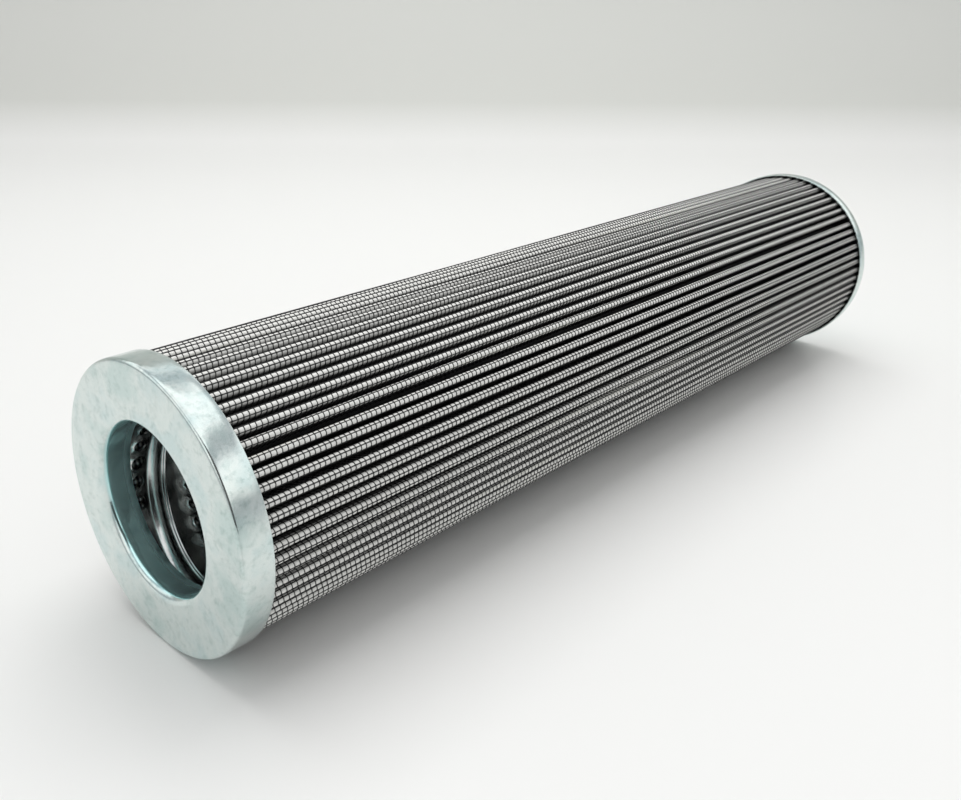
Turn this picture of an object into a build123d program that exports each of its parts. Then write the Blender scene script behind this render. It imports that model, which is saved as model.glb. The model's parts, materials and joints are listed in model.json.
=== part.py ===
"""Pleated filter element, the cartridge that drops into a hydraulic return or pressure filter.

Five sheets are folded together into pleats and wrapped round a perforated tube. A pressed steel
cap is glued on each end. One cap has a collared hole that slides over the housing's spigot, and
the other is closed.

Frame: millimetres, +Z along the tube's axis. The origin is the middle of the closed cap's outer
face, so that the element stands on its closed end with the open end up.
"""

from build123d import *
from math import acos, atan2, ceil, cos, degrees, hypot, pi, radians, sin
import os

# Overall
element_length = 334.0  # closed cap's outer face to open cap's outer face

# Pressed end caps, zinc-plated sheet
cap_sheet = 0.6
cap_corner_inside = 0.5  # inside of the bend between face and skirt
open_skirt_height = 8.5
closed_skirt_height = 5.3
skirt_clearance = 0.3  # between the tops of the folds and the inside of a skirt

# Collared hole in the open cap
bore_radius = 22.5
lip_inside = 1.4  # inside of the bend between face and collar
collar_depth = 8.2  # outer face to the collar's free edge

# Adhesive beds that bond the pleats and the tube to the caps
bed_thickness = 2.0
bed_rim_height = 1.5  # how far the bed climbs round the outside of the pleats
bond_gap = 0.02  # between glued or touching faces

# Support tube, wound from a perforated strip with a folded lock seam
tube_collar_gap = 0.25  # between the collar's outside and the tube's bore
tube_wall = 0.6
seam_advance = 26.0  # how far the seam climbs in one turn
seam_crossing = 24.5  # a height at which the seam crosses the +X side
seam_width = 3.2
seam_rise = 0.45  # how far the folded seam stands out of the wall
seam_bite = 0.3  # how deep the seam's section reaches into the wall, to join it
hole_radius = 2.2
hole_spacing = 15.0  # round the tube, centre to centre
hole_end_margin = 13.0  # plain wall at each end of the tube

# Folded sheets, from the outside in
pleat_count = 66
pleat_outer_radius = 37.6  # the tops of the folds
pleat_tube_gap = 0.1  # between the seam's back and the foot of the folds
fold_radius = 0.05  # inside of each fold
sheet_gap = 0.02  # between neighbouring sheets
outer_mesh_thickness = 0.34
outer_fleece_thickness = 0.12
media_thickness = 0.25
inner_fleece_thickness = 0.12
inner_mesh_thickness = 0.22

# Bead that closes the folded sheets along their side
seam_bead_depth = 4.0  # how far it fills its valley, measured from the foot of the folds

# Where the pieces stop
cap_radius = pleat_outer_radius + skirt_clearance + cap_sheet  # outside of both skirts
cap_corner_radius = cap_corner_inside + cap_sheet
lip_radius = lip_inside + cap_sheet
corner_centre_radius = cap_radius - cap_corner_radius
lip_centre_radius = bore_radius + lip_radius
tube_inner_radius = bore_radius + cap_sheet + tube_collar_gap
tube_outer_radius = tube_inner_radius + tube_wall
closed_bed_bottom = cap_sheet + bond_gap
closed_bed_top = closed_bed_bottom + bed_thickness
open_bed_top = element_length - cap_sheet - bond_gap
open_bed_bottom = open_bed_top - bed_thickness
pack_bottom = closed_bed_top + bond_gap
pack_top = open_bed_bottom - bond_gap
pack_length = pack_top - pack_bottom

# The folded stack
sheet_thicknesses = {
    "outer_wire_mesh": outer_mesh_thickness,
    "outer_fleece": outer_fleece_thickness,
    "glass_fibre_media": media_thickness,
    "inner_fleece": inner_fleece_thickness,
    "inner_wire_mesh": inner_mesh_thickness,
}
stack_thickness = sum(sheet_thicknesses.values()) + sheet_gap * (len(sheet_thicknesses) - 1)
fold_outside = fold_radius + stack_thickness
crest_centre_radius = pleat_outer_radius - fold_outside
pleat_inner_radius = tube_outer_radius + seam_rise + pleat_tube_gap
foot_centre_radius = pleat_inner_radius + fold_outside
pleat_angle = 360 / pleat_count


def polar(radius, angle, centre=Vector(0, 0, 0)):
    """Point at a radius and an angle in degrees round a centre, in the XY plane."""
    return centre + Vector(radius * cos(radians(angle)), radius * sin(radians(angle)), 0)


def flank_normal_angle():
    """Direction, in degrees from a crest's own radius, of the normal to the flank beside it.

    The flank is the inner common tangent of the crest's circle and the foot's circle. Its normal
    leans from the line of centres by the angle whose cosine is the two radii over their distance.
    """
    line = polar(foot_centre_radius, pleat_angle / 2) - polar(crest_centre_radius, 0)
    lean = acos((2 * fold_radius + stack_thickness) / hypot(line.X, line.Y))
    return degrees(atan2(line.Y, line.X) - lean)


def fold_points(fold, depth):
    """Points on one crest and the foot after it, for the surface at a depth in the stack.

    Going in, crests get smaller and feet get larger by the same amount, so flanks stay parallel.
    """
    crest_radius = fold_radius + stack_thickness - depth
    foot_radius = fold_radius + depth
    turn = fold * pleat_angle
    normal = flank_normal_angle()
    crest = polar(crest_centre_radius, turn)
    foot = polar(foot_centre_radius, turn + pleat_angle / 2)
    crest_arc = [polar(crest_radius, turn + a, crest) for a in (-normal, 0, normal)]
    foot_turns = (turn + normal, turn + pleat_angle / 2, turn + pleat_angle - normal)
    foot_arc = [polar(-foot_radius, a, foot) for a in foot_turns]
    return crest_arc, foot_arc


def folded_outline(depth):
    """Closed wire round all the folds, for the surface at a depth in the stack."""
    folds = [fold_points(fold, depth) for fold in range(pleat_count)]
    edges = []
    for fold, (crest_arc, foot_arc) in enumerate(folds):
        next_crest_arc = folds[(fold + 1) % pleat_count][0]
        edges.append(ThreePointArc(*crest_arc))
        edges.append(Line(crest_arc[2], foot_arc[0]))
        edges.append(ThreePointArc(*foot_arc))
        edges.append(Line(foot_arc[2], next_crest_arc[0]))
    return Wire(edges)


def folded_sheet(depth, thickness):
    """One pleated sheet, from its outer face at a depth in the stack to its inner face."""
    section = Face(folded_outline(depth), [folded_outline(depth + thickness)])
    return extrude(Pos(0, 0, pack_bottom) * section, pack_length)


def turned(profile):
    """Solid of revolution about Z from a closed profile of (radius, height) curves."""
    return revolve(make_face(profile), Axis.Z)


def at(radius, height):
    """Point of a turned profile."""
    return Vector(radius, 0, height)


def bend(centre_radius, centre_height, radius, start, end):
    """Quarter bend of a turned profile, between two angles in degrees in the XZ plane."""
    points = [
        at(centre_radius + radius * cos(radians(a)), centre_height + radius * sin(radians(a)))
        for a in (start, (start + end) / 2, end)
    ]
    return ThreePointArc(*points)


def open_cap_skin(inset):
    """Curves of the open cap's section from collar edge to skirt edge, inset from its outer face."""
    top = element_length
    lip_height = top - lip_radius
    corner_height = top - cap_corner_radius
    collar = bore_radius + inset
    skirt = cap_radius - inset
    return [
        Line(at(collar, top - collar_depth), at(collar, lip_height)),
        bend(lip_centre_radius, lip_height, lip_radius - inset, 180, 90),
        Line(at(lip_centre_radius, top - inset), at(corner_centre_radius, top - inset)),
        bend(corner_centre_radius, corner_height, cap_corner_radius - inset, 90, 0),
        Line(at(skirt, corner_height), at(skirt, top - open_skirt_height)),
    ]


def closed_cap_skin(inset):
    """Curves of the closed cap's section from its middle to skirt edge, inset from its outer face."""
    skirt = cap_radius - inset
    return [
        Line(at(0, inset), at(corner_centre_radius, inset)),
        bend(corner_centre_radius, cap_corner_radius, cap_corner_radius - inset, -90, 0),
        Line(at(skirt, cap_corner_radius), at(skirt, closed_skirt_height)),
    ]


def pressed_cap(skin):
    """Cap of even sheet between its outer and inner skins."""
    outer = skin(0)
    inner = skin(cap_sheet)
    rims = [Line(outer[-1] @ 1, inner[-1] @ 1), Line(inner[0] @ 0, outer[0] @ 0)]
    return turned(outer + inner + rims)


def open_end_cap():
    """Pressed ring: skirt outside, flat face, and a collar drawn inwards round the hole."""
    return pressed_cap(open_cap_skin)


def closed_end_cap():
    """Pressed flat dish with a low skirt."""
    return pressed_cap(closed_cap_skin)


def adhesive_bed(space, back, front):
    """Adhesive that fills a cap's inside from its face to the pack, with a rim round the pleats."""
    rim_edge = front + (bed_rim_height if front > back else -bed_rim_height)
    bed = section_strip(0, back, front)
    rim = section_strip(pleat_outer_radius + bond_gap, front, rim_edge)
    return revolve(space & (bed + rim), Axis.Z)


def section_strip(inner_radius, height, other_height):
    """Part of a section between two heights, from a radius out to the caps' outside."""
    return make_face(
        Polyline(
            at(inner_radius, height),
            at(cap_radius, height),
            at(cap_radius, other_height),
            at(inner_radius, other_height),
            close=True,
        )
    )


def closed_end_adhesive():
    """Disc of adhesive inside the closed cap, under the pleats and the tube."""
    lining = closed_cap_skin(cap_sheet + bond_gap)
    mouth = Polyline(lining[-1] @ 1, at(0, closed_skirt_height), lining[0] @ 0)
    return adhesive_bed(make_face([*lining, mouth]), closed_bed_bottom, closed_bed_top)


def open_end_adhesive():
    """Ring of adhesive inside the open cap, round the collar and over the pleats."""
    lining = open_cap_skin(cap_sheet + bond_gap)
    mouth = Line(lining[-1] @ 1, lining[0] @ 0)
    return adhesive_bed(make_face([*lining, mouth]), open_bed_top, open_bed_bottom)


def seam_ridge():
    """Folded lock seam, a flat band standing out of the tube along a helix."""
    path = Helix(seam_advance, pack_length + 3 * seam_advance, tube_outer_radius)
    start = Plane(path @ 0, x_dir=Vector(1, 0, 0), z_dir=path % 0)
    height = seam_rise + seam_bite
    section = start * Pos((seam_rise - seam_bite) / 2, 0) * Rectangle(height, seam_width)
    return sweep(section, path=path, is_frenet=True)


def tube_holes():
    """Drills for the round holes, which follow the strip half-way between turns of its seam."""
    per_turn = round(2 * pi * tube_outer_radius / hole_spacing)
    turns = ceil(pack_length / seam_advance)
    drills = []
    for index in range(-2 * per_turn, (turns + 1) * per_turn):
        angle = index * 360 / per_turn
        height = seam_crossing + seam_advance * (angle / 360 + 0.5)
        if pack_bottom + hole_end_margin < height < pack_top - hole_end_margin:
            middle = polar(tube_inner_radius, angle) + Vector(0, 0, height)
            drill = Plane(middle, z_dir=polar(1, angle)) * Cylinder(hole_radius, 4 * tube_wall)
            drills.append(drill)
    return drills


def core_tube():
    """Perforated support tube with its helical lock seam."""
    wall = Pos(0, 0, pack_bottom) * extrude(
        Circle(tube_outer_radius) - Circle(tube_inner_radius), pack_length
    )
    ridge = Pos(0, 0, seam_crossing - 2 * seam_advance) * seam_ridge()
    sleeve_radius = tube_outer_radius + 2 * seam_rise
    sleeve = Pos(0, 0, pack_bottom) * extrude(
        Circle(sleeve_radius) - Circle(tube_outer_radius - 2 * seam_bite), pack_length
    )
    tube = wall + (ridge & sleeve)
    return tube - tube_holes()


def side_seam_bead():
    """Adhesive bead that closes the wrapped sheets, at the bottom of one valley."""
    clear = sheet_gap
    foot = polar(foot_centre_radius, pleat_angle / 2)
    normal = flank_normal_angle()
    reach = seam_bead_depth
    lower = [polar(-(fold_radius - clear), a, foot) for a in (normal, pleat_angle / 2)]
    lower.append(polar(-(fold_radius - clear), pleat_angle - normal, foot))
    upper = [
        lower[0] + polar(reach, normal - 90),
        lower[2] + polar(reach, pleat_angle + 90 - normal),
    ]
    section = make_face(
        [
            ThreePointArc(*lower),
            Line(lower[2], upper[1]),
            Line(upper[1], upper[0]),
            Line(upper[0], lower[0]),
        ]
    )
    return extrude(Pos(0, 0, pack_bottom) * section, pack_length)


def build():
    """Every piece by its node name."""
    pieces = {
        "open_end_cap": open_end_cap(),
        "closed_end_cap": closed_end_cap(),
        "open_end_adhesive": open_end_adhesive(),
        "closed_end_adhesive": closed_end_adhesive(),
        "core_tube": core_tube(),
        "side_seam_bead": side_seam_bead(),
    }
    depth = 0
    for name, thickness in sheet_thicknesses.items():
        pieces[name] = folded_sheet(depth, thickness)
        depth += thickness + sheet_gap
    return pieces


os.makedirs("parts", exist_ok=True)
for name, piece in build().items():
    export_step(piece, f"parts/{name}.step")
    print(name, round(piece.volume, 1), "mm3")
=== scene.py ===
# %% [markdown]
# # A pleated filter element
#
# The element is the cartridge of a hydraulic filter. Folded sheets stand round a perforated tube
# between two pressed steel caps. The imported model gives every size. This script gives the element
# its surface: woven wire over pale fleece, zinc plating, cured adhesive and a wound tube.

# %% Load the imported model
import bmesh
import bpy
import json
import numpy as np
from math import radians
from mathutils import Matrix, Vector


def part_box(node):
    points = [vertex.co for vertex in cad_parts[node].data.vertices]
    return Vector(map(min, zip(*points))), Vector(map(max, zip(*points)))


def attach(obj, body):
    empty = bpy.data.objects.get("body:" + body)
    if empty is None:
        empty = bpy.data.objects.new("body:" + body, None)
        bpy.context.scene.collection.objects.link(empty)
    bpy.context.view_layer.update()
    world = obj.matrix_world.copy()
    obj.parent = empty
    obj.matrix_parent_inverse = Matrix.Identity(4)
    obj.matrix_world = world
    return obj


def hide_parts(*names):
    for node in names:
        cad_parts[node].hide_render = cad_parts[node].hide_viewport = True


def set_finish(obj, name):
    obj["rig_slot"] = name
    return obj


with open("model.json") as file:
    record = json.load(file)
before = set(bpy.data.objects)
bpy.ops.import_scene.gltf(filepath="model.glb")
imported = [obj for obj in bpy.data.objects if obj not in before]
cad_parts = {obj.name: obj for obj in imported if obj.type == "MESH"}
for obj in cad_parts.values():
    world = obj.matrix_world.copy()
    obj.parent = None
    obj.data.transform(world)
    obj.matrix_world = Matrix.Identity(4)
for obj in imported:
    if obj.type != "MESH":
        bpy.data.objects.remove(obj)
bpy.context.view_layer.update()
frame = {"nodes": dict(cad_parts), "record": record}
MM = 0.001  # in metres
print("pieces in the packed model:", sorted(frame["nodes"]))

# %% [markdown]
# ## Sizes that everything follows
#
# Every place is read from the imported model, so a new pack moves the surface with it. The caps' boxes
# give the outside, the wire cloth's box gives the tops of the folds, and the tube's box gives its
# back. What no box can tell, such as a sheet's thickness, is written where it is first needed. Work
# is done in millimetres and turned to metres once, where a mesh is made.

# %% Read the sizes
def box_mm(node):
    """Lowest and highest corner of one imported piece, in millimetres."""
    low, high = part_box(node)
    return np.array(low) / MM, np.array(high) / MM


open_low, open_high = box_mm("open_end_cap")
_, closed_high = box_mm("closed_end_cap")
cloth_low, cloth_high = box_mm("outer_wire_mesh")
_, tube_high = box_mm("core_tube")
bore = next(mount for mount in frame["record"]["mounts"] if mount["name"] == "open_bore")

CAP_RADIUS = open_high[0]
TOP = open_high[2]
SKIRT_EDGE = open_low[2]
CLOSED_SKIRT_EDGE = closed_high[2]
BORE_RADIUS = bore["dims"]["r_mm"]
COLLAR_EDGE = bore["pos_m"][2] / MM - bore["dims"]["length_mm"] / 2
CREST_TOP = cloth_high[0]
PACK_LOW, PACK_HIGH = cloth_low[2], cloth_high[2]
SEAM_BACK = tube_high[0]
print(f"cap radius {CAP_RADIUS:.2f} mm, length {TOP:.2f} mm, folds reach {CREST_TOP:.2f} mm")

# %% [markdown]
# ## Camera
#
# The element lies on its side on a pale table. The table touches both caps along the model's -X
# side, so up on the table is the model's +X. The camera stands a little above the open end and looks
# down along the element, close enough for the near cap to look almost twice the size of the far one.
# Its place is given in cap radii, so it keeps its view of a larger or smaller element.

# %% Place the camera
CAMERA_TURN = radians(-58.262)  # round the axis from +X
CAMERA_REACH = 5.8167 * CAP_RADIUS
CAMERA_RISE = TOP + 2.5343 * CAP_RADIUS
AIM = Vector((0.0620 * CAP_RADIUS, 0.0374 * CAP_RADIUS, 0.69239 * TOP))
CAMERA_ROLL = radians(0.28)
SENSOR_WIDTH = 36.0
FOCAL_LENGTH = 36.08
LENS_SHIFT = (0.0416, -0.0156)  # parts of the sensor's width
TABLE_UP = Vector((1, 0, 0))


def place_camera():
    """Camera that looks from its place to its aim, level with the table apart from a small roll."""
    data = bpy.data.cameras.new("camera")
    camera = bpy.data.objects.new("camera", data)
    bpy.context.scene.collection.objects.link(camera)
    across, along = CAMERA_REACH * np.cos(CAMERA_TURN), CAMERA_REACH * np.sin(CAMERA_TURN)
    place = Vector((across, along, CAMERA_RISE))
    back = (place - AIM).normalized()
    right = TABLE_UP.cross(back).normalized()
    axes = Matrix((right, back.cross(right), back)).transposed()
    turned = axes @ Matrix.Rotation(CAMERA_ROLL, 3, "Z")
    camera.matrix_world = Matrix.Translation(place * MM) @ turned.to_4x4()
    data.sensor_width = SENSOR_WIDTH
    data.lens = FOCAL_LENGTH
    data.shift_x, data.shift_y = LENS_SHIFT
    data.clip_start = 0.01
    data.clip_end = 50
    bpy.context.scene.camera = camera
    return camera


camera = place_camera()
print("camera at", [round(value, 4) for value in camera.matrix_world.translation])

# %% [markdown]
# ## Meshes from arrays
#
# Every new piece is a surface worked out with numpy as whole arrays of points. A grid of points
# becomes a mesh when each point is joined to its neighbours in the next column and row. One helper
# makes the faces of a grid, one fills a mesh, and one makes its object and says what it stands for.

# %% Faces of a grid
def grid_faces(rows, columns, close_rows=False, close_columns=False):
    """Corner numbers of the faces of a grid, whose point at row i and column j is i * columns + j.

    Faces turn anticlockwise seen from the side where columns run right and rows run up.
    """
    i, j = np.meshgrid(
        np.arange(rows if close_rows else rows - 1),
        np.arange(columns if close_columns else columns - 1),
        indexing="ij",
    )
    i_next, j_next = (i + 1) % rows, (j + 1) % columns
    corners = (i * columns + j, i * columns + j_next, i_next * columns + j_next, i_next * columns + j)
    return np.stack(corners, -1).reshape(-1, 4)


print("the one face of a grid of two rows and columns:", grid_faces(2, 2).tolist())


# %% Meshes and pieces
def fill_mesh(name, points, *face_sets):
    """Mesh from points in millimetres and arrays of faces, each array with one count of corners."""
    mesh = bpy.data.meshes.new(name)
    corners = np.concatenate([faces.ravel() for faces in face_sets]).astype(np.int32)
    counts = np.concatenate([np.full(len(faces), faces.shape[1]) for faces in face_sets])
    starts = np.concatenate([[0], np.cumsum(counts)[:-1]]).astype(np.int32)
    mesh.vertices.add(len(points))
    mesh.vertices.foreach_set("co", (points * MM).astype(np.float32).ravel())
    mesh.loops.add(len(corners))
    mesh.loops.foreach_set("vertex_index", corners)
    mesh.polygons.add(len(counts))
    mesh.polygons.foreach_set("loop_start", starts)
    mesh.update(calc_edges=True)
    mesh.validate()
    mesh.shade_smooth()
    return mesh


def add_piece(mesh, slot, *nodes):
    """Object for a mesh, at the origin, that rides the one body and stands for the named nodes."""
    piece = bpy.data.objects.new(mesh.name, mesh)
    bpy.context.scene.collection.objects.link(piece)
    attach(piece, "root")
    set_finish(piece, slot)
    if nodes:
        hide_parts(*nodes)
    print(f"{mesh.name}: {len(mesh.loops) - 2 * len(mesh.polygons)} triangles")
    return piece


# %% [markdown]
# ## How the folds stand
#
# A pleating machine scores and folds the sheets, and a worker spreads the pack round the tube by
# hand. So no two gaps are alike: each crest leans a little to one side, by an amount that drifts
# along the element, and some crests stand a little lower. The feet stay evenly spaced on the tube.
# Random steps would leave kinks, so the drift is a sum of slow waves, which keeps every line smooth.

# %% Crests and feet along the element
FOLDS = 66
PITCH_TURN = 2 * np.pi / FOLDS
FOLD_INSIDE = 0.05  # radius inside each fold
FOLD_OUTSIDE = 1.18  # radius outside it, with the thickness of all five sheets
FOOT_GAP = 0.1  # between the seam's back and the folds
LEAN = radians(0.45)  # how far a crest stands aside over its whole length
DRIFT = radians(0.16)  # how far it wanders along the length
DROOP = 0.16  # how far a crest may stand below the highest
WAVES = 3  # added up in each drift
WAVE_LENGTHS = (110, 420)  # the shortest and the longest
FOLD_ROWS = 41
row_heights = np.linspace(PACK_LOW, PACK_HIGH, FOLD_ROWS)
fold_numbers = np.arange(FOLDS)
shuffle = np.random.default_rng(66)


def polar(radius, turn):
    """Points in the XY plane at a radius and an angle in radians, as an array of x and y."""
    return np.stack(np.broadcast_arrays(radius * np.cos(turn), radius * np.sin(turn)), -1)


def slow_waves():
    """One smooth random curve per fold along the rows, between -1 and 1: the mean of sine waves."""
    phase = shuffle.uniform(0, 2 * np.pi, (WAVES, FOLDS, 1))
    length = shuffle.uniform(*WAVE_LENGTHS, (WAVES, FOLDS, 1))
    return np.sin(2 * np.pi * row_heights / length + phase).sum(0) / WAVES


crest_turns = (
    fold_numbers[:, None] * PITCH_TURN
    + LEAN * shuffle.uniform(-1, 1, (FOLDS, 1))
    + DRIFT * slow_waves()
)
crest_reach = CREST_TOP - FOLD_OUTSIDE - DROOP * 0.5 * (1 - slow_waves())
foot_reach = SEAM_BACK + FOOT_GAP + FOLD_OUTSIDE
gaps = np.degrees(np.diff(crest_turns, axis=0))
print(f"crests stand {gaps.min():.2f} to {gaps.max():.2f} degrees apart, feet at {foot_reach:.2f} mm")

# %% [markdown]
# ## The line of one fold
#
# Seen along the element, a fold is a half circle over its crest, a straight flank, and a small half
# circle round its foot. The flank is the inner tangent of the two circles. A layer deeper in the
# stack has a smaller circle at the crest and a larger one at the foot, so its flanks stay parallel,
# and the same two angles serve every layer.

# %% Flanks
crest_centres = polar(crest_reach, crest_turns)


def flank(side):
    """Foot centres, the angle from a crest's own radius to its flank's normal, and flank lengths.

    That angle is the angle of the line between the two centres, less the angle whose cosine is the
    sum of both circles' radii over the length of that line. Side is 1 for the flank towards the next
    fold and -1 for the other.
    """
    feet = polar(foot_reach, (fold_numbers[:, None] + side / 2) * PITCH_TURN)
    between = feet - crest_centres
    length = np.linalg.norm(between, axis=-1)
    across = np.arctan2(between[..., 1], between[..., 0]) - crest_turns
    across = (across * side) % (2 * np.pi)
    lean = np.arccos((FOLD_OUTSIDE + FOLD_INSIDE) / length)
    return feet, across - lean, length * np.sin(lean)


foot_centres, right_end, flank_length = flank(1)
_, left_end, _ = flank(-1)
print(f"flanks are {flank_length.min():.2f} to {flank_length.max():.2f} mm long")


# %% Points on a fold
def crest_points(along, depth):
    """Points and outward normals at distances along a layer from the tops of the crests.

    The distances have the shape (stations, folds, rows). Up to the end of the half circle a point is
    the crest's centre plus its radius in the turned direction, and past it the point goes straight
    down the flank.
    """
    radius = FOLD_OUTSIDE - depth
    side = np.where(along < 0, -1.0, 1.0)
    end = np.where(along < 0, left_end, right_end)
    turned = np.minimum(np.abs(along) / radius, end)
    past = np.maximum(np.abs(along) - radius * end, 0)
    normal_turn = crest_turns + side * turned
    normal = polar(1.0, normal_turn)
    down = polar(1.0, normal_turn + side * np.pi / 2)
    return crest_centres + radius * normal + past[..., None] * down, normal


def foot_points(part, depth):
    """Points round the foot after each crest, where part runs from 0 at one flank to 1 at the next."""
    radius = FOLD_INSIDE + depth
    start = crest_turns + right_end
    stop = np.roll(crest_turns - left_end, -1, axis=0)
    stop = start - (start - stop) % (2 * np.pi)
    turn = start + part * (stop - start)
    return foot_centres - radius * polar(1.0, turn)


tops, _ = crest_points(np.zeros((1, FOLDS, 1)), 0)
print(f"the highest fold reaches {np.linalg.norm(tops, axis=-1).max():.2f} mm")

# %% [markdown]
# ## Pale fleece
#
# Under the wire lies a soft non-woven sheet that keeps the wire off the glass fibre. A flat sheet
# bent by a modifier would stretch at the folds, so its points are worked out on the line of the fold.
# It is one skin outside and one inside, joined at both ends, so it is a closed sheet as the real one
# is. Its map counts meshes of the wire cloth: one unit is the way from one wire to the next. The
# padded look between the wires is read from that map later.

# %% Skins of the fleece
WIRE_PITCH = 1.5875  # sixteen wires to the inch
ROUND_CREST = np.array([-1, -0.6, -0.2, 0.2, 0.6, 1])  # stations over a crest, flank to flank
ROUND_FOOT = np.array([0, 0.5, 1])
cloth_per_fold = 2 * (CREST_TOP - FOLD_OUTSIDE - foot_reach) + np.pi * (FOLD_OUTSIDE + FOLD_INSIDE)
wire_offset = (fold_numbers * cloth_per_fold) % WIRE_PITCH


def over_crest(stations, depth):
    """Distances along a layer for stations between -1 and 1, the starts of the two flanks."""
    radius = FOLD_OUTSIDE - depth
    stations = stations[:, None, None]
    return stations * np.where(stations < 0, radius * left_end, radius * right_end)


def folded_skin(depth):
    """Points of one layer as (rows, folds, stations, 3), and its map coordinates likewise."""
    along = over_crest(ROUND_CREST, depth)
    crests, _ = crest_points(along, depth)
    feet = foot_points(ROUND_FOOT[:, None, None], depth)
    foot_along = along[-1] + flank_length + ROUND_FOOT[:, None, None] * np.pi * (FOLD_INSIDE + depth)
    flat = np.moveaxis(np.concatenate([crests, feet]), (0, 1, 2), (2, 1, 0))
    along = np.moveaxis(np.concatenate([along, foot_along]), (0, 1, 2), (2, 1, 0))
    heights = np.broadcast_to(row_heights[:, None, None], along.shape)
    points = np.concatenate([flat, heights[..., None]], -1)
    meshes = np.stack([(along + wire_offset[:, None]) / WIRE_PITCH, heights / WIRE_PITCH], -1)
    return points, meshes


print(f"each fold takes {cloth_per_fold:.1f} mm of sheet, {cloth_per_fold / WIRE_PITCH:.1f} wires")

# %% Fold the fleece
FLEECE_DEPTH = 0.21  # below the tops of the folds, so that half of each wire stands out of it
FLEECE_THICKNESS = 0.12


def folded_fleece():
    """Closed sheet: the outer skin going up and the inner skin going down, as one closed grid."""
    outer, outer_map = folded_skin(FLEECE_DEPTH)
    inner, inner_map = folded_skin(FLEECE_DEPTH + FLEECE_THICKNESS)
    points = np.concatenate([outer, inner[::-1]]).reshape(-1, 3)
    rows, columns = 2 * FOLD_ROWS, FOLDS * outer.shape[2]
    faces = grid_faces(rows, columns, close_rows=True, close_columns=True)
    mesh = fill_mesh("pale_fleece", points, faces)
    corners = np.zeros(len(mesh.loops), np.int32)
    mesh.loops.foreach_get("vertex_index", corners)
    layer = mesh.uv_layers.new(name="wire_meshes")
    mapped = np.concatenate([outer_map, inner_map[::-1]]).reshape(-1, 2)
    layer.data.foreach_set("uv", mapped[corners].astype(np.float32).ravel())
    return mesh


pale_fleece = add_piece(folded_fleece(), "fleece", "outer_fleece")

# %% [markdown]
# ## Wire cloth
#
# The cloth is woven from black coated steel wire about 0.3 mm thick. Its cross wires go round every fold,
# and its long wires run the length of the element. A printed pattern would look flat at the edges of the
# folds, so every wire is drawn. There are thousands of lengths, so each is a tube with three sides:
# shaded smooth it looks round at its real size. A wire is drawn over the crest and as far down the flank
# as light reaches. Deeper down, painted shade darkens the fleece in its place, standing for the shadow
# there and for the wires that are not drawn.

# %% Draw wires through points
WIRE_RADIUS = 0.18  # of the three corners, which looks as wide as a round wire of 0.31 mm
WIRE_DEPTH = 0.18  # of a wire's middle, below the tops of the folds
CORNERS = np.arange(3) * 2 * np.pi / 3


def three_sided(points, normals, across):
    """Closed tubes of three sides along lines of points, given as (lines, points, 3).

    Each point gets three corners: its place, plus the radius times the cosine of the corner's angle
    along the normal and the sine of it across. The two ends are closed by a triangle.
    """
    lines, count = points.shape[:2]
    outward = np.cos(CORNERS)[:, None] * normals[..., None, :]
    sideways = np.sin(CORNERS)[:, None] * across[..., None, :]
    corners = (points[..., None, :] + WIRE_RADIUS * (outward + sideways)).reshape(-1, 3)
    one = grid_faces(count, 3, close_columns=True)
    starts = np.arange(lines)[:, None, None] * count * 3
    sides = (one + starts).reshape(-1, 4)
    ends = np.array([[0, 2, 1], [count * 3 - 3, count * 3 - 2, count * 3 - 1]])
    return corners, sides, (ends + starts).reshape(-1, 3)


def raised(flat, normal, heights):
    """Points in space and their level normals, from flat points, flat normals and heights."""
    tall = np.broadcast_to(heights, (*flat.shape[:-1], 1))
    return np.concatenate([flat, tall], -1), np.concatenate([normal, 0 * tall], -1)


print("corners round a wire at", np.degrees(CORNERS).round().tolist(), "degrees")

# %% Cross wires
DOWN_THE_FLANK = 4.2  # how far a cross wire is drawn
CROSS_GROUPS = 4  # pieces that share the cross wires, to keep each one light


def at_height(table, heights):
    """Values of a table of (folds, rows, ...) at any heights, straight between its rows."""
    place = np.interp(heights, row_heights, np.arange(FOLD_ROWS))
    low = np.minimum(place.astype(int), FOLD_ROWS - 2)
    part = (place - low).reshape(-1, *[1] * (table.ndim - 2))
    return table[:, low] * (1 - part) + table[:, low + 1] * part


def cross_wires(name, heights):
    """Wires that go over every crest at the given heights, from flank to flank."""
    bend = over_crest(ROUND_CREST, WIRE_DEPTH)
    along = np.concatenate([bend[:1] - DOWN_THE_FLANK, bend, bend[-1:] + DOWN_THE_FLANK])
    flat, normal = crest_points(along, WIRE_DEPTH)
    flat = at_height(np.moveaxis(flat, 0, 2), heights)
    normal = at_height(np.moveaxis(normal, 0, 2), heights)
    points, normals = raised(flat, normal, heights[:, None, None])
    points, normals = points.reshape(-1, len(along), 3), normals.reshape(-1, len(along), 3)
    upward = np.broadcast_to([0.0, 0.0, 1.0], normals.shape)
    return fill_mesh(name, *three_sided(points, normals, upward))


wire_heights = np.arange(np.ceil(PACK_LOW / WIRE_PITCH), PACK_HIGH / WIRE_PITCH) * WIRE_PITCH
between_ends = (wire_heights > PACK_LOW + WIRE_RADIUS) & (wire_heights < PACK_HIGH - WIRE_RADIUS)
wire_heights = wire_heights[between_ends]
wires = [
    add_piece(cross_wires(f"cross_wires_{group + 1}", heights), "black_wire", "outer_wire_mesh")
    for group, heights in enumerate(np.array_split(wire_heights, CROSS_GROUPS))
]
print(len(wire_heights), "cross wires")

# %% Long wires
LONG_WIRE_REACH = 5.4  # how far from a crest's top a long wire is still drawn
wire_numbers = np.arange(-4, 6)  # enough to pass that reach on both sides


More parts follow.
